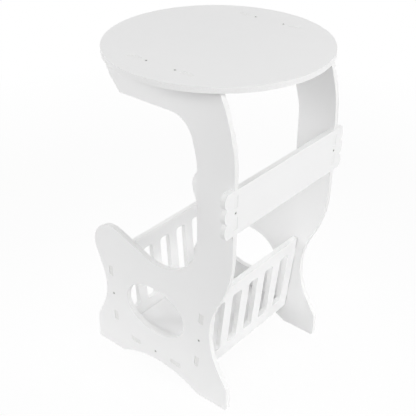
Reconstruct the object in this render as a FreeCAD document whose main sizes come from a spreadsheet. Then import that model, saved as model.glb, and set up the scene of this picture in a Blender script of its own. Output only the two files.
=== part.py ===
import FreeCAD, Part
import math
import operator
import os

import Sketcher

# A magazine table: a round top on two side panels, a cross board between their columns and a rack below.
# Every board is cut from one sheet and held by tabs in mortises and by countersunk screws.
# The origin is on the floor under the middle of the top. +Z is up and the cross board's side faces -Y.

# Driving dimensions in millimetres, and leans in degrees.
SIZES = {
    # whole table
    "table_height": 650.0,
    "top_diameter": 400.0,
    "frame_width": 300.0,
    "board_thick": 10.0,
    # fits and cuts
    "fit_gap": 0.15,
    "shoulder_gap": 1.8,
    "cut_past": 1.0,
    # feet of a side panel
    "back_toe": 190.0,
    "back_heel": 188.0,
    "back_foot_height": 57.0,
    "front_toe": 153.0,
    "front_heel": 152.0,
    "front_foot_height": 49.0,
    "toe_round": 6.0,
    "heel_round": 4.0,
    "arch_middle": 20.0,
    "arch_half_span": 98.0,
    "arch_rise": 26.0,
    # waists of a side panel, their corners measured outwards from the rack panels
    "back_waist_out": 8.6,
    "back_waist_height": 145.0,
    "back_waist_round": 114.0,
    "front_waist_out": 3.7,
    "front_waist_height": 152.0,
    "front_waist_round": 152.0,
    # horn behind the rack and the cradle between horn and column
    "horn_reach": 221.0,
    "horn_height": 330.0,
    "horn_round": 49.0,
    "cradle_height": 216.0,
    "cradle_round": 95.0,
    # column and arm, heights measured down from the panel's top edge
    "column_front": 158.5,
    "column_back": 80.5,
    "shoulder_height": 299.0,
    "shoulder_round": 234.0,
    "brow_front": 126.0,
    "brow_drop": 74.0,
    "brow_round": 300.0,
    "arm_depth": 60.0,
    "arm_back": 125.0,
    "arm_tip": 91.0,
    "arm_tip_round": 3.0,
    "arm_bulge": 118.0,
    "arm_bulge_drop": 28.0,
    "arm_bulge_round": 60.0,
    "gusset_drop": 132.0,
    "gusset_reach": 19.5,
    "gusset_low_round": 140.0,
    "gusset_high_round": 47.0,
    # oval hole in a side panel
    "oval_middle": 26.5,
    "oval_height": 147.0,
    "oval_half_length": 73.0,
    "oval_half_height": 52.3,
    # joints of the round top
    "top_tab_place": 56.5,
    "top_tab_length": 25.0,
    "top_tab_recess": 0.4,
    "top_screw_place": 31.0,
    # cross board
    "band_middle_height": 438.5,
    "band_height": 85.0,
    "band_overhang": 16.4,
    "lobe_bulge": 7.0,
    "band_tab_place": 20.7,
    "band_tab_length": 22.0,
    "band_tab_recess": 0.5,
    # rack panels and their slots
    "front_rack_place": 84.3,
    "front_rack_lean": 6.0,
    "back_rack_place": 138.4,
    "back_rack_lean": 4.2,
    "rack_middle_height": 134.5,
    "rack_height": 180.0,
    "rack_tab_place": 53.5,
    "rack_tab_length": 22.0,
    "side_tab_recess": 1.2,
    "slot_pitch": 50.0,
    "slot_end_least": 20.0,
    "slot_width": 27.0,
    "slot_height": 122.0,
    "slot_round": 6.0,
    # rack floor
    "floor_height": 40.0,
    "floor_tab_length": 25.0,
    # screws
    "screw_length": 30.0,
    "screw_shank": 3.5,
    "screw_head": 7.0,
    "screw_tip": 3.0,
    "screw_hole_gap": 0.2,
    "pilot_room": 2.0,
    "recess_length": 3.4,
    "recess_width": 1.1,
    "recess_depth": 1.2,
}
LOBES_PER_END = 3
SIDES = (-1, 1)
FULL_TURN = 360.0
QUARTER_TURN = 90.0
HALF_TURN = 180.0
# the most of a straight wall that the rounds at its two ends may take up
WALL_SHARE = 0.98

VECTOR = FreeCAD.Vector
# numbers of a sketched line's or arc's points, and the sketch's own origin, which starts its level axis
START, END, MIDDLE = range(1, 4)
SKETCH_ORIGIN = (-START, START)


def joined(symbol, operation, swapped=False):
    """Give the method that joins two sizes, both their values and their formulas."""
    def method(self, other):
        pair = (as_size(other), self) if swapped else (self, as_size(other))
        formula = f"({pair[0].formula} {symbol} {pair[1].formula})"
        return Size(operation(pair[0].value, pair[1].value), formula)
    return method


class Size:
    """A number together with the formula that ties it to the size sheet."""

    def __init__(self, value, formula):
        self.value = value
        self.formula = formula

    __add__ = joined("+", operator.add)
    __radd__ = joined("+", operator.add, swapped=True)
    __sub__ = joined("-", operator.sub)
    __rsub__ = joined("-", operator.sub, swapped=True)
    __mul__ = joined("*", operator.mul)
    __rmul__ = joined("*", operator.mul, swapped=True)
    __truediv__ = joined("/", operator.truediv)

    def __neg__(self):
        return 0 - self

    def sine(self):
        """Sine of a lean in degrees."""
        return Size(math.sin(math.radians(self.value)), f"sin({self.formula})")

    def cosine(self):
        """Cosine of a lean in degrees."""
        return Size(math.cos(math.radians(self.value)), f"cos({self.formula})")


def as_size(number):
    """Give a plain number the form of a size."""
    return number if isinstance(number, Size) else Size(float(number), repr(float(number)))


class SizeSheet:
    """The spreadsheet of driving dimensions, each one read as an attribute."""

    def __init__(self, numbers):
        sheet = doc.addObject("Spreadsheet::Sheet", "sizes")
        for row, (name, number) in enumerate(numbers.items(), start=1):
            sheet.set(f"A{row}", name)
            sheet.set(f"B{row}", str(number))
            sheet.setAlias(f"B{row}", name)
        doc.recompute()
        for name in numbers:
            setattr(self, name, Size(float(getattr(sheet, name)), f"sizes.{name}"))


def bind(thing, path, size):
    """Tie one property of a document object to the sheet."""
    thing.setExpression(path, as_size(size).formula)


def offset_placement(thing, prefix, base, axis, angle):
    """Set a placement and tie its three offsets, and its angle if that is a size, to the sheet."""
    base = [as_size(number) for number in base]
    turn = FreeCAD.Rotation(VECTOR(*axis), as_size(angle).value)
    setattr(thing, prefix, FreeCAD.Placement(VECTOR(*[number.value for number in base]), turn))
    for letter, number in zip("xyz", base):
        bind(thing, f"{prefix}.Base.{letter}", number)
    if isinstance(angle, Size):
        bind(thing, f"{prefix}.Rotation.Angle", angle)


def new_body(label):
    """Start a board or a screw."""
    body = doc.addObject("PartDesign::Body", label)
    body.Label = label
    return body


def new_sketch(body, name, plane, base=(0, 0, 0), axis=(0, 0, 1), angle=0.0):
    """Attach a sketch to one of the body's own planes, shifted and turned in that plane's frame."""
    sketch = body.newObject("Sketcher::SketchObject", f"{body.Label}_{name}")
    support = next(item for item in body.Origin.OriginFeatures if item.Role == plane)
    sketch.AttachmentSupport = [(support, "")]
    sketch.MapMode = "FlatFace"
    offset_placement(sketch, "AttachmentOffset", base, axis, angle)
    return sketch


def tie(sketch, ties):
    """Add constraints, given as kind, elements and size or None, and bind the sized ones to the sheet."""
    first = sketch.ConstraintCount
    sketch.addConstraint([
        Sketcher.Constraint(kind, *elements) if size is None
        else Sketcher.Constraint(kind, *elements, as_size(size).value)
        for kind, elements, size in ties
    ])
    for index, (_, _, size) in enumerate(ties, start=first):
        if size is not None:
            bind(sketch, f"Constraints[{index}]", size)


def point_ties(point, across, up):
    """Constraints that hold a sketch point at its distances from the sketch's origin."""
    return [
        ("DistanceX", (*SKETCH_ORIGIN, *point), across),
        ("DistanceY", (*SKETCH_ORIGIN, *point), up),
    ]


def corner_arc(corner, last, following, radius):
    """Give the arc that rounds a corner, its two ends and whether the outline turns left there."""
    to_last = (last - corner).normalize()
    to_next = (following - corner).normalize()
    half = to_last.getAngle(to_next) / 2
    reach = radius / math.tan(half)
    start = corner + to_last * reach
    end = corner + to_next * reach
    centre = corner + (to_last + to_next).normalize() * (radius / math.sin(half))
    turns_left = to_last.cross(to_next).z < 0
    first, second = (start, end) if turns_left else (end, start)
    low = math.atan2(first.y - centre.y, first.x - centre.x)
    high = math.atan2(second.y - centre.y, second.x - centre.x)
    if high < low:
        high += 2 * math.pi
    arc = Part.ArcOfCircle(Part.Circle(centre, VECTOR(0, 0, 1), radius), low, high)
    return arc, start, end, turns_left


def fitted_rounds(points, rounds):
    """Give the corners' rounds, each limited by the walls beside it, which it shares with its neighbours."""
    count = len(points)
    reaches = [0.0] * count
    for index, radius in enumerate(rounds):
        if radius is not None:
            to_last = points[index - 1] - points[index]
            to_next = points[(index + 1) % count] - points[index]
            reaches[index] = radius.value / math.tan(to_last.getAngle(to_next) / 2)
    fitted = list(rounds)
    for index in range(count):
        ends = (index - 1, index)
        room = WALL_SHARE * points[index - 1].distanceToPoint(points[index])
        taken = sum(reaches[end] for end in ends)
        for end in ends:
            if rounds[end] is not None and taken * fitted[end].value > room * rounds[end].value:
                fitted[end] = rounds[end] * (room / taken)
    return fitted


def draw_outline(sketch, corners):
    """Draw a closed outline through corners, each given as across, up and round or None."""
    points = [VECTOR(as_size(across).value, as_size(up).value, 0) for across, up, _ in corners]
    rounds = fitted_rounds(points, [radius for _, _, radius in corners])
    corners = [(across, up, radius) for (across, up, _), radius in zip(corners, rounds)]
    count = len(corners)
    starts, ends = list(points), list(points)
    arcs = {}
    for index, (_, _, radius) in enumerate(corners):
        if radius is not None:
            arc, starts[index], ends[index], turns_left = corner_arc(
                points[index], points[index - 1], points[(index + 1) % count], radius.value)
            arcs[index] = (arc, turns_left)
    first = sketch.GeometryCount
    sketch.addGeometry([Part.LineSegment(ends[index], starts[(index + 1) % count]) for index in range(count)])
    ties = []
    for index, (across, up, radius) in enumerate(corners):
        before = first + (index - 1) % count
        after = first + index
        if radius is None:
            ties.append(("Coincident", (before, END, after, START), None))
            ties += point_ties((after, START), across, up)
            continue
        arc, turns_left = arcs[index]
        round_edge = sketch.addGeometry(arc)
        corner = sketch.addGeometry(Part.Point(points[index]), True)
        enters, leaves = (START, END) if turns_left else (END, START)
        ties += point_ties((corner, START), across, up)
        ties += [
            ("PointOnObject", (corner, START, before), None),
            ("PointOnObject", (corner, START, after), None),
            ("Tangent", (before, END, round_edge, enters), None),
            ("Tangent", (round_edge, leaves, after, START), None),
            ("Radius", (round_edge,), radius),
        ]
    tie(sketch, ties)


def draw_box(sketch, across, up, radius=None):
    """Draw a rectangle from its low and high distances across and up, with its corners rounded or not."""
    low, high = across
    draw_outline(sketch, [
        (low, up[0], radius),
        (high, up[0], radius),
        (high, up[1], radius),
        (low, up[1], radius),
    ])


def draw_circle(sketch, across, up, radius):
    """Draw a full circle."""
    centre = VECTOR(as_size(across).value, as_size(up).value, 0)
    circle = sketch.addGeometry(Part.Circle(centre, VECTOR(0, 0, 1), radius.value))
    tie(sketch, point_ties((circle, MIDDLE), across, up) + [("Radius", (circle,), radius)])


def draw_oval(sketch, across, up, half_length, half_height):
    """Draw an ellipse that lies level."""
    centre = VECTOR(across.value, up.value, 0)
    oval = sketch.addGeometry(Part.Ellipse(centre, half_length.value, half_height.value))
    sketch.exposeInternalGeometry(oval)
    long_axis, short_axis = oval + 1, oval + 2
    tie(sketch, point_ties((oval, MIDDLE), across, up) + [
        ("Horizontal", (long_axis,), None),
        ("Distance", (long_axis,), 2 * half_length),
        ("Distance", (short_axis,), 2 * half_height),
    ])


def add_pad(body, sketch, length, reverse=False):
    """Thicken a sketch into board."""
    feature = body.newObject("PartDesign::Pad", f"{sketch.Name}_pad")
    feature.Profile = sketch
    feature.Reversed = reverse
    bind(feature, "Length", length)
    doc.recompute()
    return feature


def check_cut(body, feature, before):
    """Recompute a cut and make sure that it removed material."""
    doc.recompute()
    if not feature.Shape.Volume < before:
        raise RuntimeError(f"{feature.Name} removes nothing from {body.Label}")


def cut_pocket(body, sketch, length, reverse=False):
    """Cut a sketch into the body."""
    before = body.Shape.Volume
    feature = body.newObject("PartDesign::Pocket", f"{sketch.Name}_pocket")
    feature.Profile = sketch
    feature.Reversed = reverse
    bind(feature, "Length", length)
    check_cut(body, feature, before)


def cut_groove(body, sketch):
    """Cut a sketch's profile all round the sketch's level axis."""
    before = body.Shape.Volume
    feature = body.newObject("PartDesign::Groove", f"{sketch.Name}_groove")
    feature.Profile = sketch
    feature.ReferenceAxis = (sketch, ["H_Axis"])
    feature.Angle = FULL_TURN
    check_cut(body, feature, before)


def cut_screw_hole(body, name, plane, base, angle=0.0):
    """Cut a countersunk hole through a board, from the given point along the turned sketch's level axis."""
    sketch = new_sketch(body, name, plane, base, angle=angle)
    head = size.screw_head / 2
    hole = size.screw_shank / 2 + size.screw_hole_gap
    far = size.board_thick + size.cut_past
    draw_outline(sketch, [
        (-size.cut_past, 0, None),
        (far, 0, None),
        (far, hole, None),
        (head - hole, hole, None),
        (-size.cut_past, head + size.cut_past, None),
    ])
    cut_groove(body, sketch)


def cut_pilot(body, name, plane, base, angle=0.0, gap=0.0):
    """Cut the blind hole that a screw's shank fills, gap being the room between the two boards it joins."""
    sketch = new_sketch(body, name, plane, base, angle=angle)
    depth = size.screw_length - size.board_thick - gap + size.pilot_room
    draw_box(sketch, (-size.cut_past, depth), (0, size.screw_shank / 2))
    cut_groove(body, sketch)


class SideJoint:
    """Where a rack board's tabs and screw pass through a side panel, with the board's lean there."""

    def __init__(self, name, place, height, tab_length, axis, lean, slack):
        self.name = name
        self.place = place
        self.height = height
        self.tab_length = tab_length
        self.axis = axis
        self.lean = lean
        # how many fit gaps are left at the mortise's front, back, lower and upper side in the board's frame
        self.slack = slack


def panel_outline():
    """Corners of a side panel, from the back toe up over the horn and arm and down the column's front."""
    top = size.table_height - size.board_thick
    arm_under = top - size.arm_depth
    return [
        (size.back_toe, 0, size.toe_round),
        (size.back_heel, size.back_foot_height, size.heel_round),
        (size.back_rack_place + size.back_waist_out, size.back_waist_height, size.back_waist_round),
        (size.horn_reach, size.horn_height, size.horn_round),
        (-size.column_back, size.cradle_height, size.cradle_round),
        (-size.column_back, top - size.gusset_drop, size.gusset_low_round),
        (size.gusset_reach - size.column_back, arm_under, size.gusset_high_round),
        (size.arm_tip, arm_under, size.arm_tip_round),
        (size.arm_bulge, top - size.arm_bulge_drop, size.arm_bulge_round),
        (size.arm_back, top, None),
        (-size.brow_front, top, None),
        (-size.column_front, top - size.brow_drop, size.brow_round),
        (-size.column_front, size.shoulder_height, size.shoulder_round),
        (-size.front_rack_place - size.front_waist_out, size.front_waist_height, size.front_waist_round),
        (-size.front_heel, size.front_foot_height, size.heel_round),
        (-size.front_toe, 0, size.toe_round),
    ]


def cut_side_joint(body, joint, inward):
    """Cut a board's two mortises and its screw hole into a side panel."""
    mortises = new_sketch(body, f"{joint.name}_mortises", "YZ_Plane",
                          (joint.place, joint.height, 0), joint.axis, joint.lean)
    half_thick = size.board_thick / 2
    half_length = joint.tab_length / 2
    front, back, lower, upper = [count * size.fit_gap for count in joint.slack]
    for side in SIDES:
        middle = side * size.rack_tab_place
        draw_box(mortises, (-half_thick - front, half_thick + back),
                 (middle - half_length - lower, middle + half_length + upper))
    cut_pocket(body, mortises, size.board_thick, reverse=inward > 0)
    cut_screw_hole(body, f"{joint.name}_screw_hole", "XZ_Plane", (0, joint.height, -joint.place),
                   0.0 if inward > 0 else HALF_TURN)


def side_panel(label, joints, inward):
    """A side panel, sketched on its outer face; inward is the sign of X towards the table's middle."""
    body = new_body(label)
    top = size.table_height - size.board_thick
    face = new_sketch(body, "outline", "YZ_Plane")
    draw_outline(face, panel_outline())
    add_pad(body, face, size.board_thick, reverse=inward < 0)

    arch = new_sketch(body, "arch", "YZ_Plane")
    arch_radius = (size.arch_half_span * size.arch_half_span / size.arch_rise + size.arch_rise) / 2
    draw_circle(arch, size.arch_middle, size.arch_rise - arch_radius, arch_radius)
    cut_pocket(body, arch, size.board_thick, reverse=inward > 0)

    oval = new_sketch(body, "oval", "YZ_Plane")
    draw_oval(oval, size.oval_middle, size.oval_height, size.oval_half_length, size.oval_half_height)
    cut_pocket(body, oval, size.board_thick, reverse=inward > 0)

    notch = new_sketch(body, "band_notch", "YZ_Plane")
    notch_back = size.board_thick - size.column_front
    band_low = size.band_middle_height - size.band_height / 2
    draw_box(notch, (-size.column_front - size.cut_past, notch_back),
             (band_low, band_low + size.band_height + size.fit_gap))
    cut_pocket(body, notch, size.board_thick, reverse=inward > 0)

    tabs = new_sketch(body, "tabs", "YZ_Plane")
    for side in SIDES:
        middle = side * size.top_tab_place
        half = size.top_tab_length / 2
        draw_box(tabs, (middle - half, middle + half), (top, size.table_height - size.top_tab_recess))
    for side in SIDES:
        middle = size.band_middle_height + side * size.band_tab_place
        half = size.band_tab_length / 2
        draw_box(tabs, (size.band_tab_recess - size.column_front, notch_back), (middle - half, middle + half))
    add_pad(body, tabs, size.board_thick, reverse=inward < 0)

    for joint in joints:
        cut_side_joint(body, joint, inward)
    middle = inward * size.board_thick / 2
    for side, name in zip(SIDES, ("front", "back")):
        mouth = (middle, top, -side * size.top_screw_place)
        cut_pilot(body, f"{name}_top_pilot", "XZ_Plane", mouth, -QUARTER_TURN)
    cut_pilot(body, "band_pilot", "YZ_Plane", (notch_back, size.band_middle_height, middle))
    offset_placement(body, "Placement", (-inward * size.frame_width / 2, 0, 0), (0, 0, 1), 0.0)
    return body


def table_top():
    """The round top, with a mortise for each side panel tab and a countersunk hole for each screw."""
    body = new_body("table_top")
    face = new_sketch(body, "outline", "XY_Plane")
    draw_circle(face, 0, 0, size.top_diameter / 2)
    add_pad(body, face, size.board_thick)
    mortises = new_sketch(body, "mortises", "XY_Plane")
    half_thick = size.board_thick / 2 + size.fit_gap
    half_length = size.top_tab_length / 2 + size.fit_gap
    for side in SIDES:
        for end in SIDES:
            across = side * panel_middle()
            along = end * size.top_tab_place
            draw_box(mortises, (across - half_thick, across + half_thick),
                     (along - half_length, along + half_length))
    cut_pocket(body, mortises, size.board_thick, reverse=True)
    for number, (across, along) in enumerate(top_screw_places(), start=1):
        mouth = (across, size.board_thick, -along)
        cut_screw_hole(body, f"screw_hole_{number}", "XZ_Plane", mouth, -QUARTER_TURN)
    offset_placement(body, "Placement", (0, 0, size.table_height - size.board_thick), (0, 0, 1), 0.0)
    return body


def panel_middle():
    """How far the middle of a side panel's thickness is from the table's middle."""
    return (size.frame_width - size.board_thick) / 2


def top_screw_places():
    """Places of the screws in the round top, across and along."""
    return [(side * panel_middle(), end * size.top_screw_place) for side in SIDES for end in SIDES]


def front_band():
    """The cross board, with scalloped ends and a mortise for each column tab."""
    body = new_body("front_band")
    face = new_sketch(body, "outline", "XZ_Plane")
    draw_scalloped_board(face)
    add_pad(body, face, size.board_thick)
    mortises = new_sketch(body, "mortises", "XZ_Plane")
    half_thick = size.board_thick / 2 + size.fit_gap
    half_length = size.band_tab_length / 2 + size.fit_gap
    for side in SIDES:
        for end in SIDES:
            across = side * panel_middle()
            up = end * size.band_tab_place
            draw_box(mortises, (across - half_thick, across + half_thick),
                     (up - half_length, up + half_length))
    cut_pocket(body, mortises, size.board_thick, reverse=True)
    for side, name in zip(SIDES, ("left", "right")):
        cut_screw_hole(body, f"{name}_screw_hole", "YZ_Plane", (-size.board_thick, 0, side * panel_middle()))
    offset_placement(body, "Placement", (0, size.board_thick - size.column_front, size.band_middle_height),
                     (0, 0, 1), 0.0)
    return body


def draw_scalloped_board(sketch):
    """Draw the cross board's outline: straight top and bottom edges, and three round lobes at each end."""
    board_end = size.frame_width / 2 + size.band_overhang
    chord = size.band_height / LOBES_PER_END
    lobe_radius = (chord * chord / 4 / size.lobe_bulge + size.lobe_bulge) / 2
    half_angle = math.asin(chord.value / 2 / lobe_radius.value)
    centre_across = board_end + size.lobe_bulge - lobe_radius
    last = LOBES_PER_END - 1
    ties = []
    lobes = {}
    for side in SIDES:
        facing = 0.0 if side > 0 else math.pi
        for step in range(LOBES_PER_END):
            up = chord * (step + 0.5) - size.band_height / 2
            centre = VECTOR(side * centre_across.value, up.value, 0)
            circle = Part.Circle(centre, VECTOR(0, 0, 1), lobe_radius.value)
            arc = Part.ArcOfCircle(circle, facing - half_angle, facing + half_angle)
            lobes[side, step] = sketch.addGeometry(arc)
            low, high = (START, END) if side > 0 else (END, START)
            ties += point_ties((lobes[side, step], low), side * board_end, up - chord / 2)
            ties.append(("Radius", (lobes[side, step],), lobe_radius))
            if step:
                ties.append(("Coincident", (lobes[side, step - 1], high, lobes[side, step], low), None))
        ties += point_ties((lobes[side, last], high), side * board_end, size.band_height / 2)
    half_height = size.band_height.value / 2
    half_length = board_end.value
    bottom = sketch.addGeometry(
        Part.LineSegment(VECTOR(-half_length, -half_height, 0), VECTOR(half_length, -half_height, 0)))
    top = sketch.addGeometry(
        Part.LineSegment(VECTOR(half_length, half_height, 0), VECTOR(-half_length, half_height, 0)))
    ties += [
        ("Coincident", (bottom, START, lobes[-1, 0], END), None),
        ("Coincident", (bottom, END, lobes[1, 0], START), None),
        ("Coincident", (top, START, lobes[1, last], END), None),
        ("Coincident", (top, END, lobes[-1, last], START), None),
    ]
    tie(sketch, ties)


def rack_board_half_length():
    """Half the length of a rack board between its shoulders."""
    return size.frame_width / 2 - size.board_thick - size.shoulder_gap


def slot_middles():
    """Middles of a rack panel's slots, as many as its length takes at the slot pitch."""
    room = 2 * (rack_board_half_length() - size.slot_end_least) - size.slot_width
    count = int(room.value // size.slot_pitch.value) + 1
    return [(index - (count - 1) / 2) * size.slot_pitch for index in range(count)]


def rack_board(label, height, tab_length, slotted):
    """A board of the rack, standing on its long edge, with two tabs and a screw's pilot hole at each end."""
    body = new_body(label)
    half_length = rack_board_half_length()
    back_face = (0, 0, -size.board_thick / 2)
    face = new_sketch(body, "outline", "XZ_Plane", back_face)
    draw_box(face, (-half_length, half_length), (-height / 2, height / 2))
    add_pad(body, face, size.board_thick)
    tabs = new_sketch(body, "tabs", "XZ_Plane", back_face)
    tab_end = size.frame_width / 2 - size.side_tab_recess
    for end in SIDES:
        up = (end * size.rack_tab_place - tab_length / 2, end * size.rack_tab_place + tab_length / 2)
        draw_box(tabs, (-tab_end, -half_length), up)
        draw_box(tabs, (half_length, tab_end), up)
    add_pad(body, tabs, size.board_thick)
    if slotted:
        slots = new_sketch(body, "slots", "XZ_Plane", back_face)
        for middle in slot_middles():
            draw_box(slots, (middle - size.slot_width / 2, middle + size.slot_width / 2),
                     (-size.slot_height / 2, size.slot_height / 2), size.slot_round)
        cut_pocket(body, slots, size.board_thick, reverse=True)
    cut_pilot(body, "left_pilot", "XZ_Plane", (-half_length, 0, 0), 0.0, size.shoulder_gap)
    cut_pilot(body, "right_pilot", "XZ_Plane", (half_length, 0, 0), HALF_TURN, size.shoulder_gap)
    return body


def rack_foot_inset(lean):
    """How far a leaning rack panel's inner bottom corner reaches in from the panel's middle."""
    return size.board_thick / 2 * lean.cosine() + size.rack_height / 2 * lean.sine()


def screw(label, base, axis, angle):
    """A countersunk wood screw, its head's face at the given point, turned from pointing along +X."""
    body = new_body(label)
    head = size.screw_head / 2
    shank = size.screw_shank / 2
    profile = new_sketch(body, "profile", "XZ_Plane")
    draw_outline(profile, [
        (0, 0, None),
        (size.screw_length, 0, None),
        (size.screw_length - size.screw_tip, shank, None),
        (head - shank, shank, None),
        (0, head, None),
    ])
    turned = body.newObject("PartDesign::Revolution", f"{label}_turned")
    turned.Profile = profile
    turned.ReferenceAxis = (profile, ["H_Axis"])
    turned.Angle = FULL_TURN
    doc.recompute()
    recess = new_sketch(body, "recess", "YZ_Plane")
    reach = size.recess_length / 2
    half = size.recess_width / 2
    draw_outline(recess, [
        (reach, -half, None), (reach, half, None), (half, half, None),
        (half, reach, None), (-half, reach, None), (-half, half, None),
        (-reach, half, None), (-reach, -half, None), (-half, -half, None),
        (-half, -reach, None), (half, -reach, None), (half, -half, None),
    ])
    cut_pocket(body, recess, size.recess_depth, reverse=True)
    offset_placement(body, "Placement", base, axis, angle)
    return body


def screw_group(label, screws):
    """Put the screws of one joint into one group of separate solids."""
    group = doc.addObject("Part::Compound", label)
    group.Label = label
    group.Links = screws
    return group


def side_screws(label, joint):
    """The pair of screws through both side panels into one rack board."""
    outer = size.frame_width / 2
    return screw_group(label, [
        screw(f"{label}_left", (-outer, joint.place, joint.height), (0, 0, 1), 0.0),
        screw(f"{label}_right", (outer, joint.place, joint.height), (0, 0, 1), HALF_TURN),
    ])


def build_table():
    """Build every sub-part and give the list of them."""
    floor_back = size.back_rack_place - rack_foot_inset(size.back_rack_lean) - size.fit_gap
    floor_front = rack_foot_inset(size.front_rack_lean) - size.front_rack_place + size.fit_gap
    floor_place = (floor_front + floor_back) / 2
    floor_middle_height = size.floor_height + size.board_thick / 2
    front = SideJoint("front_rack", -size.front_rack_place, size.rack_middle_height, size.rack_tab_length,
                      (0, 0, 1), size.front_rack_lean, (1, 1, 0, 1))
    back = SideJoint("back_rack", size.back_rack_place, size.rack_middle_height, size.rack_tab_length,
                     (0, 0, -1), size.back_rack_lean, (1, 1, 0, 1))
    floor = SideJoint("rack_floor", floor_place, floor_middle_height, size.floor_tab_length,
                      (0, 0, 1), QUARTER_TURN, (0, 1, 1, 1))
    joints = (front, back, floor)

    front_rack = rack_board("front_rack_panel", size.rack_height, size.rack_tab_length, slotted=True)
    offset_placement(front_rack, "Placement", (0, front.place, front.height), (1, 0, 0), size.front_rack_lean)
    back_rack = rack_board("back_rack_panel", size.rack_height, size.rack_tab_length, slotted=True)
    offset_placement(back_rack, "Placement", (0, back.place, back.height), (-1, 0, 0), size.back_rack_lean)
    rack_floor = rack_board("rack_floor", floor_back - floor_front, size.floor_tab_length, slotted=False)
    offset_placement(rack_floor, "Placement", (0, floor.place, floor.height), (1, 0, 0), QUARTER_TURN)

    top_screws = [
        screw(f"table_top_screw_{number}", (across, along, size.table_height), (0, 1, 0), QUARTER_TURN)
        for number, (across, along) in enumerate(top_screw_places(), start=1)
    ]
    band_screws = [
        screw(f"band_screw_{name}", (side * panel_middle(), -size.column_front, size.band_middle_height),
              (0, 0, 1), QUARTER_TURN)
        for side, name in zip(SIDES, ("left", "right"))
    ]
    return [
        table_top(),
        side_panel("left_side_panel", joints, 1),
        side_panel("right_side_panel", joints, -1),
        front_band(),
        front_rack,
        back_rack,
        rack_floor,
        screw_group("table_top_screws", top_screws),
        screw_group("band_screws", band_screws),
        side_screws("front_rack_screws", front),
        side_screws("back_rack_screws", back),
        side_screws("rack_floor_screws", floor),
    ]


def check_model(subparts):
    """Stop if any object failed or any sub-part is empty or invalid."""
    failed = [item.Name for item in doc.Objects if {"Invalid", "Error"} & set(item.State)]
    bad = [item.Label for item in subparts if item.Shape.isNull() or not item.Shape.isValid()]
    if failed or bad:
        raise RuntimeError(f"failed objects {failed}, bad shapes {bad}")


doc = FreeCAD.newDocument("magazine_table")
size = SizeSheet(SIZES)
table = build_table()
doc.recompute()
check_model(table)
os.makedirs("parts", exist_ok=True)
for subpart in table:
    subpart.Shape.exportStep(f"parts/{subpart.Label}.step")
    print(subpart.Label, len(subpart.Shape.Solids), "solids", round(subpart.Shape.Volume, 1), "mm3")
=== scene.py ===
import logging
import math
from dataclasses import dataclass, field
from enum import Enum, IntEnum

import bmesh
import bpy
from mathutils import Matrix, Vector


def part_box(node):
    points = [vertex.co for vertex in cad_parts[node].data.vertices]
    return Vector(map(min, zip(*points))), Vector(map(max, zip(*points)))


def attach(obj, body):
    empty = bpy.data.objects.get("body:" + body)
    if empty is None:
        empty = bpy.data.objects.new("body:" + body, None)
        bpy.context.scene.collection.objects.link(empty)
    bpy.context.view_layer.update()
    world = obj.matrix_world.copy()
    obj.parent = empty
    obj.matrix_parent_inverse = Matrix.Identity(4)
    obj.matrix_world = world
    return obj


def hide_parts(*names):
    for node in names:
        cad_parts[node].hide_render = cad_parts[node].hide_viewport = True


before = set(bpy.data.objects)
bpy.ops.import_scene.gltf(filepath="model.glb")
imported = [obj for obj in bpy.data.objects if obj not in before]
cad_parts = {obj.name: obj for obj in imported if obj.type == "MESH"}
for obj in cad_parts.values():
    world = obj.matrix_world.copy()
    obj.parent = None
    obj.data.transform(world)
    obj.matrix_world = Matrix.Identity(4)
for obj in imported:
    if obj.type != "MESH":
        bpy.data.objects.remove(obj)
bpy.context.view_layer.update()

# A magazine table of white wood-plastic board, dressed at its real size in a soft, white studio.
# Lengths are metres unless their name or comment says otherwise, and +Z is up.

LOG = logging.getLogger("magazine_table")
BODY = "root"
MM = 0.001
FULL_TURN = 2 * math.pi
QUARTER_TURN = FULL_TURN / 4
# strength at which a light source looks plain white
PLAIN_WHITE = 1.0
# noise runs from 0 to 1, and seldom leaves this span
NOISE_LOW, NOISE_HIGH = 0.3, 0.7


def linear(code: str) -> tuple[float, float, float, float]:
    """Turn an sRGB colour into linear light.

    Args:
        code: Colour as #rrggbb.

    Returns:
        Linear red, green and blue, and an alpha of 1.
    """
    channels = [int(code[start:start + 2], 16) / 255 for start in (1, 3, 5)]
    red, green, blue = [
        channel / 12.92 if channel <= 0.04045 else ((channel + 0.055) / 1.055) ** 2.4
        for channel in channels
    ]
    return red, green, blue, 1.0


def per_metre(size_mm: float) -> float:
    """Give the texture scale at which a pattern's features are this many millimetres across."""
    return 1 / (size_mm * MM)


def add_node(tree: bpy.types.NodeTree, kind: str, inputs: dict, **settings: object) -> bpy.types.Node:
    """Add a shader node with its settings and links.

    Args:
        tree: Node tree that gets the node.
        kind: Blender's name for the type of node.
        inputs: What each input, by name or number, holds: a value, or an output socket to link from.
        settings: Properties of the node itself.

    Returns:
        The new node.
    """
    node = tree.nodes.new(kind)
    for name, value in settings.items():
        setattr(node, name, value)
    for name, value in inputs.items():
        if isinstance(value, bpy.types.NodeSocket):
            tree.links.new(value, node.inputs[name])
        else:
            node.inputs[name].default_value = value
    return node


def new_material(name: str) -> tuple[bpy.types.Material, bpy.types.NodeTree]:
    """Start a material.

    Args:
        name: What the material is.

    Returns:
        The material, and its node tree with nothing in it.
    """
    material = bpy.data.materials.new(name)
    material.use_nodes = True
    material.node_tree.nodes.clear()
    return material, material.node_tree


def seen_directly(tree: bpy.types.NodeTree) -> bpy.types.NodeSocket:
    """Tell rays that show a surface from rays that light one.

    Args:
        tree: Node tree that asks.

    Returns:
        Socket that is 1 for a ray from the camera, or from its mirror image in gloss or glass.
    """
    path = add_node(tree, "ShaderNodeLightPath", {})
    mirrored = add_node(tree, "ShaderNodeMath", {
        0: path.outputs["Is Glossy Ray"], 1: path.outputs["Is Transmission Ray"]}, operation="MAXIMUM")
    seen = add_node(tree, "ShaderNodeMath", {
        0: path.outputs["Is Camera Ray"], 1: mirrored.outputs["Value"]}, operation="MAXIMUM")
    return seen.outputs["Value"]


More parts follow.
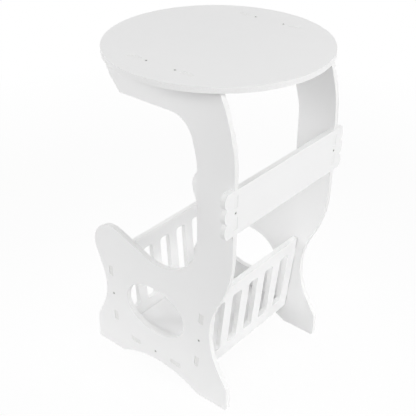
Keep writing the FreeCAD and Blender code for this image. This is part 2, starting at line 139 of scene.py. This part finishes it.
class BoardFace(IntEnum):
    """The kinds of surface on a board, by material slot."""

    SKIN = 0
    CUT = 1
    SAWN = 2


class ScrewFace(IntEnum):
    """The two kinds of surface on a screw, by material slot."""

    COAT = 0
    # bare, blackened steel: the thread, and the drive recess, where its dark is partly painted shade
    BARE = 1


class Drive(Enum):
    """Where the screws of a joint are driven in from."""

    FROM_ABOVE = "above"
    FROM_FRONT = "front"
    FROM_BOTH_SIDES = "both sides"


@dataclass(frozen=True)
class BoardSkin:
    """Wood-plastic board as it leaves the rollers: an even white skin with a soft, broken sheen."""

    name: str = "wood_plastic_board_skin"
    white: str = "#F5F5F5"
    shade: str = "#F3F3F3"
    ior: float = 1.47
    # the chalk in the skin scatters part of the mirrored light
    mirrored: float = 0.3
    gloss_low: float = 0.50
    gloss_high: float = 0.62
    cloud_mm: float = 90.0
    cloud_detail: float = 4.0
    cloud_breakup: float = 0.6
    smear_mm: float = 18.0
    smear_detail: float = 3.0
    smear_drag: float = 0.6
    # the real orange peel is under 1 mm, and is drawn this coarse so that it shows
    peel_mm: float = 2.2
    peel_detail: float = 2.0
    peel_height: float = 0.03 * MM
    peel_strength: float = 0.22

    def material(self) -> bpy.types.Material:
        """Make the material.

        Returns:
            White skin whose tone drifts with the foam below and whose gloss is broken by faint smears.
        """
        material, tree = new_material(self.name)
        place = add_node(tree, "ShaderNodeTexCoord", {}).outputs["Object"]
        cloud = add_node(tree, "ShaderNodeTexNoise", {
            "Vector": place, "Scale": per_metre(self.cloud_mm), "Detail": self.cloud_detail,
            "Roughness": self.cloud_breakup})
        tone = add_node(tree, "ShaderNodeMix", {
            "Factor": cloud.outputs["Fac"], "A": linear(self.shade), "B": linear(self.white)},
            data_type="RGBA")
        smear = add_node(tree, "ShaderNodeTexNoise", {
            "Vector": place, "Scale": per_metre(self.smear_mm), "Detail": self.smear_detail,
            "Distortion": self.smear_drag})
        gloss = add_node(tree, "ShaderNodeMapRange", {
            "Value": smear.outputs["Fac"], "From Min": NOISE_LOW, "From Max": NOISE_HIGH,
            "To Min": self.gloss_low, "To Max": self.gloss_high})
        peel = add_node(tree, "ShaderNodeTexNoise", {
            "Vector": place, "Scale": per_metre(self.peel_mm), "Detail": self.peel_detail})
        bump = add_node(tree, "ShaderNodeBump", {
            "Height": peel.outputs["Fac"], "Strength": self.peel_strength, "Distance": self.peel_height})
        shader = add_node(tree, "ShaderNodeBsdfPrincipled", {
            "Base Color": tone.outputs["Result"], "Roughness": gloss.outputs["Result"],
            "IOR": self.ior, "Specular IOR Level": self.mirrored, "Normal": bump.outputs["Normal"]})
        add_node(tree, "ShaderNodeOutputMaterial", {"Surface": shader.outputs["BSDF"]})
        return material


@dataclass(frozen=True)
class BoardCut:
    """Wood-plastic board where a router cut it: the core's open cells show as a fine, dry grain, with
    painted shade in their floors.
    """

    name: str = "wood_plastic_board_cut"
    white: str = "#F4F4F4"
    cell: str = "#EEEEED"
    ior: float = 1.47
    dry: float = 0.62
    # the real cells are about 0.3 mm across, and are drawn this coarse so that they show
    cell_mm: float = 1.4
    # how far from a cell's middle, in cells, its floor ends and its wall is whole
    cell_floor: float = 0.1
    cell_wall: float = 0.6
    cell_depth: float = 0.06 * MM
    cell_strength: float = 0.2

    def material(self) -> bpy.types.Material:
        """Make the material.

        Returns:
            Matt white with a grain of small open cells, their floors darkened as painted shade.
        """
        material, tree = new_material(self.name)
        place = add_node(tree, "ShaderNodeTexCoord", {}).outputs["Object"]
        cells = add_node(tree, "ShaderNodeTexVoronoi", {
            "Vector": place, "Scale": per_metre(self.cell_mm)}, feature="SMOOTH_F1")
        open_cell = add_node(tree, "ShaderNodeMapRange", {
            "Value": cells.outputs["Distance"], "From Min": self.cell_floor, "From Max": self.cell_wall})
        # painted shade: the cell colour darkens each open cell's floor, where the bump sinks deepest
        tone = add_node(tree, "ShaderNodeMix", {
            "Factor": open_cell.outputs["Result"], "A": linear(self.cell), "B": linear(self.white)},
            data_type="RGBA")
        bump = add_node(tree, "ShaderNodeBump", {
            "Height": open_cell.outputs["Result"], "Strength": self.cell_strength,
            "Distance": self.cell_depth})
        shader = add_node(tree, "ShaderNodeBsdfPrincipled", {
            "Base Color": tone.outputs["Result"], "Roughness": self.dry,
            "IOR": self.ior, "Normal": bump.outputs["Normal"]})
        add_node(tree, "ShaderNodeOutputMaterial", {"Surface": shader.outputs["BSDF"]})
        return material


@dataclass(frozen=True)
class SawnTabEnd(BoardCut):
    """Wood-plastic board where a saw crossed it: its cells are torn deeper and it is drier, and its grey
    is painted shade for the tab ends sunk in their mortises.
    """

    name: str = "wood_plastic_board_sawn_painted_shade"
    # painted shade: this greyer white and the darker cell colour darken the tab ends where they sit sunk
    # in the mortises
    white: str = "#EFEFEE"
    cell: str = "#E4E4E3"
    dry: float = 0.75
    cell_depth: float = 0.12 * MM
    cell_strength: float = 0.3


@dataclass(frozen=True)
class ScrewCoat:
    """Steel screw head dipped in white epoxy: a hard, rounded gloss over a faint orange peel."""

    name: str = "white_epoxy_coat"
    white: str = "#E9E9E8"
    thin: str = "#DCDCDA"
    ior: float = 1.52
    gloss: float = 0.34
    peel_mm: float = 0.9
    peel_detail: float = 2.0
    peel_height: float = 0.02 * MM
    peel_strength: float = 0.25

    def material(self) -> bpy.types.Material:
        """Make the material.

        Returns:
            White coat, a little thinner and greyer in patches.
        """
        material, tree = new_material(self.name)
        place = add_node(tree, "ShaderNodeTexCoord", {}).outputs["Object"]
        peel = add_node(tree, "ShaderNodeTexNoise", {
            "Vector": place, "Scale": per_metre(self.peel_mm), "Detail": self.peel_detail})
        tone = add_node(tree, "ShaderNodeMix", {
            "Factor": peel.outputs["Fac"], "A": linear(self.thin), "B": linear(self.white)},
            data_type="RGBA")
        bump = add_node(tree, "ShaderNodeBump", {
            "Height": peel.outputs["Fac"], "Strength": self.peel_strength, "Distance": self.peel_height})
        shader = add_node(tree, "ShaderNodeBsdfPrincipled", {
            "Base Color": tone.outputs["Result"], "Roughness": self.gloss,
            "IOR": self.ior, "Normal": bump.outputs["Normal"]})
        add_node(tree, "ShaderNodeOutputMaterial", {"Surface": shader.outputs["BSDF"]})
        return material


@dataclass(frozen=True)
class BareSteelAndRecessShade:
    """Blackened carbon steel on the thread and in the drive recess, where its dark also stands for painted
    shade deep in the cross: dark, dull and a little streaked.
    """

    name: str = "blackened_steel_and_recess_shade"
    dark: str = "#1C1C1E"
    worn: str = "#3A3A3D"
    dull: float = 0.55
    streak_mm: float = 0.6
    streak_detail: float = 3.0

    def material(self) -> bpy.types.Material:
        """Make the material.

        Returns:
            Dark metal with paler worn streaks.
        """
        material, tree = new_material(self.name)
        place = add_node(tree, "ShaderNodeTexCoord", {}).outputs["Object"]
        streak = add_node(tree, "ShaderNodeTexNoise", {
            "Vector": place, "Scale": per_metre(self.streak_mm), "Detail": self.streak_detail})
        tone = add_node(tree, "ShaderNodeMix", {
            "Factor": streak.outputs["Fac"], "A": linear(self.dark), "B": linear(self.worn)},
            data_type="RGBA")
        shader = add_node(tree, "ShaderNodeBsdfPrincipled", {
            "Base Color": tone.outputs["Result"], "Roughness": self.dull, "Metallic": 1.0})
        add_node(tree, "ShaderNodeOutputMaterial", {"Surface": shader.outputs["BSDF"]})
        return material


@dataclass(frozen=True)
class StudioSheet:
    """Matt white paper sweep under the table: plain and pale, with the table's own soft shadow on it."""

    name: str = "white_paper_sweep"
    white: str = "#F3F3F3"
    fleck: str = "#F0F0F0"
    fleck_mm: float = 40.0
    # painted pool of light: the paper's colour fades from white near the table to grey away from it, and
    # the grey paper sends less light back
    grey_past_pool: str = "#8C8C8C"
    lit_to: float = 0.35
    pool_ends_at: float = 0.9
    # share of plain white in what the camera sees of the paper: the shadow under the table stays faint,
    # and the share reaches 1 before the horizon
    whiten: float = 0.94
    fade_from: float = 0.4
    fade_to: float = 1.6

    def material(self) -> bpy.types.Material:
        """Make the material.

        Returns:
            Paper that lights the table from a painted pool of light, white near the table and grey further
            out, and looks white where no shadow falls.
        """
        material, tree = new_material(self.name)
        place = add_node(tree, "ShaderNodeTexCoord", {}).outputs["Object"]
        fleck = add_node(tree, "ShaderNodeTexNoise", {
            "Vector": place, "Scale": per_metre(self.fleck_mm)})
        tone = add_node(tree, "ShaderNodeMix", {
            "Factor": fleck.outputs["Fac"], "A": linear(self.fleck), "B": linear(self.white)},
            data_type="RGBA")
        away = add_node(tree, "ShaderNodeVectorMath", {"Vector": place}, operation="LENGTH")
        # painted pool of light: the paper's colour turns to grey with distance from the table
        pool_fade = add_node(tree, "ShaderNodeMapRange", {
            "Value": away.outputs["Value"], "From Min": self.lit_to, "From Max": self.pool_ends_at})
        sent_back = add_node(tree, "ShaderNodeMix", {
            "Factor": pool_fade.outputs["Result"], "A": tone.outputs["Result"], "B": linear(self.grey_past_pool)},
            data_type="RGBA")
        paper = add_node(tree, "ShaderNodeBsdfDiffuse", {"Color": sent_back.outputs["Result"]})
        plain = add_node(tree, "ShaderNodeEmission", {"Strength": PLAIN_WHITE})
        fade = add_node(tree, "ShaderNodeMapRange", {
            "Value": away.outputs["Value"], "From Min": self.fade_from, "From Max": self.fade_to,
            "To Min": self.whiten})
        share = add_node(tree, "ShaderNodeMath", {
            0: seen_directly(tree), 1: fade.outputs["Result"]}, operation="MULTIPLY")
        shown = add_node(tree, "ShaderNodeMixShader", {
            "Fac": share.outputs["Value"], 1: paper.outputs["BSDF"], 2: plain.outputs["Emission"]})
        add_node(tree, "ShaderNodeOutputMaterial", {"Surface": shown.outputs["Shader"]})
        return material


def shade_smooth(shape: bmesh.types.BMesh, sharp_turn: float) -> None:
    """Shade a shape smoothly, apart from its sharp edges.

    Args:
        shape: Mesh to shade.
        sharp_turn: Angle between two faces from which their edge is sharp.
    """
    for face in shape.faces:
        face.smooth = True
    for edge in shape.edges:
        edge.smooth = edge.is_manifold and edge.calc_face_angle() < sharp_turn


def hang_piece(shape: bmesh.types.BMesh, name: str, node: str, slot: str) -> bpy.types.Object:
    """Make a finished shape a piece of the table, in place of a node of the frame.

    Args:
        shape: Mesh of the piece, which is freed.
        name: Name of the piece.
        node: Node that the piece replaces.
        slot: Material slot of the record that the piece belongs to; not used.

    Returns:
        The new piece.
    """
    mesh = bpy.data.meshes.new(name)
    shape.to_mesh(mesh)
    shape.free()
    piece = bpy.data.objects.new(name, mesh)
    bpy.context.scene.collection.objects.link(piece)
    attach(piece, BODY)
    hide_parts(node)
    LOG.info("%s in place of %s: %d faces", name, node, len(mesh.polygons))
    return piece


@dataclass
class BoardGroup:
    """Boards of one sub-assembly, with their sawn corners eased as sandpaper leaves them."""

    nodes: tuple[str, ...]
    ease: float = 0.35 * MM
    ease_steps: int = 2
    slot: str = "white_board"
    pieces: list[bpy.types.Object] = field(default_factory=list)

    # corners flatter than this belong to a curve
    CURVE_TURN = math.radians(30)
    SHARP_TURN = math.radians(60)
    FLAT_TURN = math.radians(0.2)
    SAME_POINT = 0.001 * MM
    ROUND_PROFILE = 0.5
    # faces that lean less than this from the board's own plane are its skin
    SKIN_TILT = math.cos(math.radians(20))

    def build(self) -> None:
        """Copy each board from the frame, ease its corners and hang it on the table."""
        for node in self.nodes:
            board = bmesh.new()
            board.from_mesh(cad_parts[node].data)
            self.shape(board)
            piece = hang_piece(board, f"{node}_eased", node, self.slot)
            piece.modifiers.new("flat_faces_stay_flat", "WEIGHTED_NORMAL").keep_sharp = True
            self.pieces.append(piece)

    def shape(self, board: bmesh.types.BMesh) -> None:
        """Merge a board's loose triangles into whole faces and round its outer corners.

        Args:
            board: Mesh of the board, changed in place.
        """
        bmesh.ops.remove_doubles(board, verts=board.verts, dist=self.SAME_POINT)
        bmesh.ops.dissolve_limit(
            board, angle_limit=self.FLAT_TURN, verts=board.verts, edges=board.edges, delimit={"NORMAL"})
        through = max(board.faces, key=lambda face: face.calc_area()).normal.copy()
        reach = max(abs(vert.co.x) for vert in board.verts)
        for face in board.faces:
            face.material_index = self.face_kind(face, through, reach)
        corners = [
            edge for edge in board.edges
            if edge.is_manifold and edge.is_convex and edge.calc_face_angle() > self.CURVE_TURN
        ]
        bmesh.ops.bevel(
            board, geom=corners, offset=self.ease, offset_type="OFFSET", segments=self.ease_steps,
            profile=self.ROUND_PROFILE, affect="EDGES", clamp_overlap=True, material=-1)
        shade_smooth(board, self.SHARP_TURN)

    def face_kind(self, face: bmesh.types.BMFace, through: Vector, reach: float) -> BoardFace:
        """Tell skin from cut edges.

        Args:
            face: Face of a board.
            through: Direction through the board.
            reach: How far the board reaches to either side of the table's middle; not used here.

        Returns:
            Kind of surface that the face has.
        """
        return BoardFace.SKIN if abs(face.normal.dot(through)) > self.SKIN_TILT else BoardFace.CUT

    def dress(self, finishes: dict[BoardFace, bpy.types.Material]) -> None:
        """Give each board its finishes.

        Args:
            finishes: Finish of each kind of surface.
        """
        for piece in self.pieces:
            for kind in BoardFace:
                piece.data.materials.append(finishes[kind])


@dataclass
class RoundTop(BoardGroup):
    """The round top, its rim sanded a little more than the other edges."""

    nodes: tuple[str, ...] = ("table_top",)
    ease: float = 0.6 * MM
    ease_steps: int = 3


@dataclass
class SideFrames(BoardGroup):
    """The two side panels that carry the top and hold the rack."""

    nodes: tuple[str, ...] = ("left_side_panel", "right_side_panel")


@dataclass
class CrossBand(BoardGroup):
    """The cross board with its scalloped ends."""

    nodes: tuple[str, ...] = ("front_band",)


@dataclass
class MagazineRack(BoardGroup):
    """The slotted front and back of the rack, and its floor, whose tabs end in rough saw cuts."""

    nodes: tuple[str, ...] = ("front_rack_panel", "back_rack_panel", "rack_floor")
    ease: float = 0.25 * MM
    tab_end_depth: float = 0.5 * MM

    def face_kind(self, face: bmesh.types.BMFace, through: Vector, reach: float) -> BoardFace:
        """Tell the tabs' ends from the board's other faces.

        Args:
            face: Face of a board.
            through: Direction through the board.
            reach: How far the board reaches to either side of the table's middle.

        Returns:
            Kind of surface that the face has.
        """
        if abs(face.calc_center_median().x) > reach - self.tab_end_depth:
            return BoardFace.SAWN
        return super().face_kind(face, through, reach)


@dataclass
class WoodScrews:
    """Countersunk wood screws with a cross recess, sunk just below the boards' faces."""

    drives: dict[str, Drive] = field(default_factory=lambda: {
        "table_top_screws": Drive.FROM_ABOVE,
        "band_screws": Drive.FROM_FRONT,
        "front_rack_screws": Drive.FROM_BOTH_SIDES,
        "back_rack_screws": Drive.FROM_BOTH_SIDES,
        "rack_floor_screws": Drive.FROM_BOTH_SIDES,
    })
    slot: str = "white_screw"
    head_radius: float = 3.5 * MM
    rim_ease: float = 0.25 * MM
    head_sink: float = 0.1 * MM
    recess_length: float = 3.4 * MM
    recess_width: float = 1.1 * MM
    recess_depth: float = 1.2 * MM
    recess_taper: float = 0.72
    recess_arms: int = 4
    shank_radius: float = 1.7 * MM
    thread_height: float = 0.5 * MM
    thread_pitch: float = 1.8 * MM
    length: float = 30 * MM
    tip_length: float = 4 * MM
    tip_radius: float = 0.2 * MM
    sides: int = 32
    rings_per_turn: int = 8
    # each screw was driven until it was tight, so no two recesses stand alike
    drive_turn: float = math.radians(37)
    pieces: list[bpy.types.Object] = field(default_factory=list)

    SHARP_TURN = math.radians(40)

    def build(self) -> None:
        """Drive a screw wherever the frame has one, with the screws of one joint in one piece."""
        pattern = self.turn_screw()
        driven = 0
        for node, drive in self.drives.items():
            group = bmesh.new()
            for head, points_to in self.places(node, drive):
                screw = pattern.copy()
                stand = points_to.to_track_quat("Z", "Y").to_matrix().to_4x4()
                turn = Matrix.Rotation(driven * self.drive_turn, 4, "Z")
                screw.transform(Matrix.Translation(head) @ stand @ turn)
                group.from_mesh(screw)
                bpy.data.meshes.remove(screw)
                driven += 1
            self.pieces.append(hang_piece(group, f"{node}_driven", node, self.slot))
        bpy.data.meshes.remove(pattern)

    def places(self, node: str, drive: Drive) -> list[tuple[Vector, Vector]]:
        """Find a joint's screws.

        Args:
            node: Name of the joint's screws in the frame.
            drive: Where they are driven in from.

        Returns:
            The middle of each head's face, and the direction that the screw points in.
        """
        low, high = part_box(node)
        middle = (low + high) / 2
        lanes = (low.x + self.head_radius, high.x - self.head_radius)
        rows = (low.y + self.head_radius, high.y - self.head_radius)
        if drive is Drive.FROM_ABOVE:
            return [(Vector((lane, row, high.z)), Vector((0, 0, -1))) for lane in lanes for row in rows]
        if drive is Drive.FROM_FRONT:
            return [(Vector((lane, low.y, middle.z)), Vector((0, 1, 0))) for lane in lanes]
        return [
            (Vector((low.x, middle.y, middle.z)), Vector((1, 0, 0))),
            (Vector((high.x, middle.y, middle.z)), Vector((-1, 0, 0))),
        ]

    def turn_screw(self) -> bpy.types.Mesh:
        """Make one screw, the middle of its head's face at the origin and its point along +Z.

        Returns:
            Mesh of the screw.
        """
        screw = bmesh.new()
        rim = bmesh.ops.create_circle(
            screw, segments=self.sides, radius=self.head_radius - self.rim_ease)["verts"]
        bmesh.ops.translate(screw, vec=(0, 0, self.head_sink), verts=rim)
        rim_edges = list(screw.edges)
        mouth_edges = self.recess_mouth(screw)
        bmesh.ops.triangle_fill(screw, use_beauty=True, edges=rim_edges + mouth_edges)
        self.sink_recess(screw, mouth_edges)
        self.draw_shank(screw, rim_edges)
        bmesh.ops.recalc_face_normals(screw, faces=screw.faces)
        shade_smooth(screw, self.SHARP_TURN)
        mesh = bpy.data.meshes.new("wood_screw")
        screw.to_mesh(mesh)
        screw.free()
        return mesh

    def recess_mouth(self, screw: bmesh.types.BMesh) -> list[bmesh.types.BMEdge]:
        """Draw the cross on the head's face.

        Args:
            screw: Mesh of the screw.

        Returns:
            The cross's edges.
        """
        reach, half = self.recess_length / 2, self.recess_width / 2
        arm = [(reach, -half), (reach, half), (half, half)]
        corners = []
        for number in range(self.recess_arms):
            turn = Matrix.Rotation(number * FULL_TURN / self.recess_arms, 3, "Z")
            corners += [screw.verts.new(turn @ Vector((*corner, self.head_sink))) for corner in arm]
        return [screw.edges.new((corners[index - 1], corners[index])) for index in range(len(corners))]

    def sink_recess(self, screw: bmesh.types.BMesh, mouth: list[bmesh.types.BMEdge]) -> None:
        """Sink the cross into the head, narrower at its floor than at its mouth.

        Args:
            screw: Mesh of the screw.
            mouth: Edges of the cross.
        """
        # the cross's walls and floor are dark bare steel, which also paints the shade deep in the recess
        floor = self.next_ring(screw, mouth, self.recess_taper, self.recess_depth, ScrewFace.BARE)
        for part in bmesh.ops.triangle_fill(screw, use_beauty=True, edges=floor)["geom"]:
            if isinstance(part, bmesh.types.BMFace):
                part.material_index = ScrewFace.BARE

    def draw_shank(self, screw: bmesh.types.BMesh, rim: list[bmesh.types.BMEdge]) -> None:
        """Draw the head's rounded rim and cone, then the thread down to the point.

        Args:
            screw: Mesh of the screw.
            rim: Edges round the head's face.
        """
        rim_growth = self.head_radius / (self.head_radius - self.rim_ease)
        widest = self.next_ring(screw, rim, rim_growth, self.rim_ease, ScrewFace.COAT)
        cone = self.head_radius - self.shank_radius
        ring = self.next_ring(screw, widest, self.shank_radius / self.head_radius, cone, ScrewFace.BARE)
        # a thread is a round core that stands off the axis and turns about it once each pitch
        offset = self.thread_height / 2
        core = self.shank_radius - offset
        step = self.thread_pitch / self.rings_per_turn
        start = self.head_sink + self.rim_ease + cone
        count = int((self.length - self.tip_length - start) / step)
        for index in range(count):
            angle = FULL_TURN * index / self.rings_per_turn
            share = core / self.shank_radius if index == 0 else 1.0
            ring = self.next_ring(screw, ring, share, step, ScrewFace.BARE)
            self.centre_ring(screw, ring, (offset * math.cos(angle), offset * math.sin(angle)))
        tip = self.next_ring(
            screw, ring, self.tip_radius / core, self.length - start - count * step, ScrewFace.BARE)
        self.centre_ring(screw, tip, (0.0, 0.0))
        for face in bmesh.ops.edgeloop_fill(screw, edges=tip)["faces"]:
            face.material_index = ScrewFace.BARE

    @staticmethod
    def next_ring(screw: bmesh.types.BMesh, edges: list[bmesh.types.BMEdge], share: float, step: float,
                  side: ScrewFace) -> list[bmesh.types.BMEdge]:
        """Carry a ring of edges on along the screw.

        Args:
            screw: Mesh of the screw.
            edges: The ring to go on from.
            share: Width of the new ring, as a share of the old one's.
            step: How far along the screw the new ring lies.
            side: Finish of the faces between the rings.

        Returns:
            Edges of the new ring.
        """
        parts = bmesh.ops.extrude_edge_only(screw, edges=edges)["geom"]
        verts = [part for part in parts if isinstance(part, bmesh.types.BMVert)]
        middle = sum((vert.co for vert in verts), Vector()) / len(verts)
        bmesh.ops.scale(screw, vec=(share, share, 1), space=Matrix.Translation(-middle), verts=verts)
        bmesh.ops.translate(screw, vec=(0, 0, step), verts=verts)
        for part in parts:
            if isinstance(part, bmesh.types.BMFace):
                part.material_index = side
        fresh = set(verts)
        return [
            part for part in parts
            if isinstance(part, bmesh.types.BMEdge) and fresh.issuperset(part.verts)
        ]

    @staticmethod
    def centre_ring(screw: bmesh.types.BMesh, edges: list[bmesh.types.BMEdge],
                    centre: tuple[float, float]) -> None:
        """Move a ring sideways until its middle is at a place across the screw's axis.

        Args:
            screw: Mesh of the screw.
            edges: The ring.
            centre: Where its middle goes.
        """
        verts = list(dict.fromkeys(vert for edge in edges for vert in edge.verts))
        middle = sum((vert.co for vert in verts), Vector()) / len(verts)
        bmesh.ops.translate(screw, vec=(centre[0] - middle.x, centre[1] - middle.y, 0), verts=verts)

    def dress(self, finishes: dict[ScrewFace, bpy.types.Material]) -> None:
        """Give each screw its finishes.

        Args:
            finishes: Finish of each kind of surface.
        """
        for piece in self.pieces:
            for kind in ScrewFace:
                piece.data.materials.append(finishes[kind])


@dataclass
class SoftBox:
    """A square lamp behind a diffuser, aimed at the table.

    Its azimuth is measured from -Y towards +X, and both its angles are in degrees. Its level, from 0 to 1,
    is how white it alone makes a white card that stands at the table and faces it.
    """

    name: str
    azimuth: float
    elevation: float
    level: float
    distance: float = 3.0
    side: float = 1.4
    aim: tuple[float, float, float] = (0.0, 0.0, 0.36)

    def hang(self) -> None:
        """Put the lamp up."""
        lamp = bpy.data.lights.new(self.name, "AREA")
        lamp.shape = "SQUARE"
        lamp.size = self.side
        # at a distance d, a white card sends back the lamp's power over (pi d) squared
        lamp.energy = self.level * (math.pi * self.distance) ** 2
        holder = bpy.data.objects.new(self.name, lamp)
        holder.visible_camera = False
        # a lamp's image in the gloss would bleach the top from some sides, so gloss shows the room alone
        holder.visible_glossy = False
        azimuth, elevation = math.radians(self.azimuth), math.radians(self.elevation)
        towards = Vector((
            math.sin(azimuth) * math.cos(elevation),
            -math.cos(azimuth) * math.cos(elevation),
            math.sin(elevation),
        ))
        holder.location = Vector(self.aim) + towards * self.distance
        holder.rotation_euler = towards.to_track_quat("Z", "Y").to_euler()
        bpy.context.scene.collection.objects.link(holder)


@dataclass
class Studio:
    """White sweep, soft boxes all round and the even light of a white room."""

    sweep_side: float = 24.0
    sweep_drop: float = 0.2 * MM
    room_level: float = 0.20
    room_white: str = "#FFFFFF"
    lamps: tuple[SoftBox, ...] = (
        SoftBox("front_soft_box", 0, 30, 0.51),
        SoftBox("front_left_soft_box", -60, 30, 0.14),
        SoftBox("low_front_left_soft_box", -60, 8, 0.15),
        SoftBox("low_front_right_soft_box", 60, 8, 0.21),
        SoftBox("high_right_soft_box", 90, 55, 0.22),
        SoftBox("low_back_soft_box", 150, 8, 0.39),
        SoftBox("back_left_soft_box", -120, 30, 0.15),
        SoftBox("near_back_card", -140, 25, 0.29, distance=1.29, side=0.50, aim=(-0.15, 0.0, 0.35)),
    )

    def build(self) -> None:
        """Lay the sweep, light the room and hang the lamps."""
        self.lay_sweep()
        self.light_room()
        for lamp in self.lamps:
            lamp.hang()

    def lay_sweep(self) -> None:
        """Lay the paper that the table stands on."""
        paper = bmesh.new()
        bmesh.ops.create_grid(paper, x_segments=1, y_segments=1, size=self.sweep_side / 2)
        bmesh.ops.translate(paper, vec=(0, 0, -self.sweep_drop), verts=paper.verts)
        mesh = bpy.data.meshes.new("paper_sweep")
        paper.to_mesh(mesh)
        paper.free()
        sweep = bpy.data.objects.new("paper_sweep", mesh)
        mesh.materials.append(StudioSheet().material())
        bpy.context.scene.collection.objects.link(sweep)

    def light_room(self) -> None:
        """Fill the room with even light, and show it white."""
        world = bpy.data.worlds.new("white_room")
        world.use_nodes = True
        tree = world.node_tree
        tree.nodes.clear()
        paint = linear(self.room_white)
        light = add_node(tree, "ShaderNodeBackground", {"Strength": self.room_level, "Color": paint})
        white = add_node(tree, "ShaderNodeBackground", {"Strength": PLAIN_WHITE, "Color": paint})
        shown = add_node(tree, "ShaderNodeMixShader", {
            "Fac": seen_directly(tree), 1: light.outputs["Background"], 2: white.outputs["Background"]})
        add_node(tree, "ShaderNodeOutputWorld", {"Surface": shown.outputs["Shader"]})
        bpy.context.scene.world = world


@dataclass
class PhotoCamera:
    """The photograph's camera, above the table's left front corner."""

    azimuth: float = math.radians(-50.175)
    elevation: float = math.radians(31.309)
    roll: float = math.radians(0.41)
    distance: float = 1.5316
    target: tuple[float, float, float] = (-0.0249, -0.0001, 0.3304)
    # focal length and picture width in pixels, and the film width that they are scaled to
    focal_px: float = 814.77
    picture_px: float = 416.0
    film_mm: float = 36.0

    def build(self) -> None:
        """Set the camera up and make it the scene's own."""
        data = bpy.data.cameras.new("photo_camera")
        data.sensor_fit = "HORIZONTAL"
        data.sensor_width = self.film_mm
        data.lens = self.focal_px / self.picture_px * self.film_mm
        camera = bpy.data.objects.new("photo_camera", data)
        turn = (
            Matrix.Rotation(self.azimuth, 3, "Z")
            @ Matrix.Rotation(QUARTER_TURN - self.elevation, 3, "X")
            @ Matrix.Rotation(self.roll, 3, "Z")
        )
        camera.rotation_euler = turn.to_euler()
        camera.location = Vector(self.target) + turn @ Vector((0, 0, self.distance))
        bpy.context.scene.collection.objects.link(camera)
        bpy.context.scene.camera = camera


def main() -> None:
    """Dress the table and set up the studio."""
    logging.basicConfig(level=logging.INFO, format="%(name)s %(message)s")
    board_finishes = {
        BoardFace.SKIN: BoardSkin().material(),
        BoardFace.CUT: BoardCut().material(),
        BoardFace.SAWN: SawnTabEnd().material(),
    }
    for group in (RoundTop(), SideFrames(), CrossBand(), MagazineRack()):
        group.build()
        group.dress(board_finishes)
    screws = WoodScrews()
    screws.build()
    screws.dress({ScrewFace.COAT: ScrewCoat().material(), ScrewFace.BARE: BareSteelAndRecessShade().material()})
    Studio().build()
    PhotoCamera().build()
    bpy.context.scene.view_settings.view_transform = "Standard"


if __name__ == "__main__":
    main()
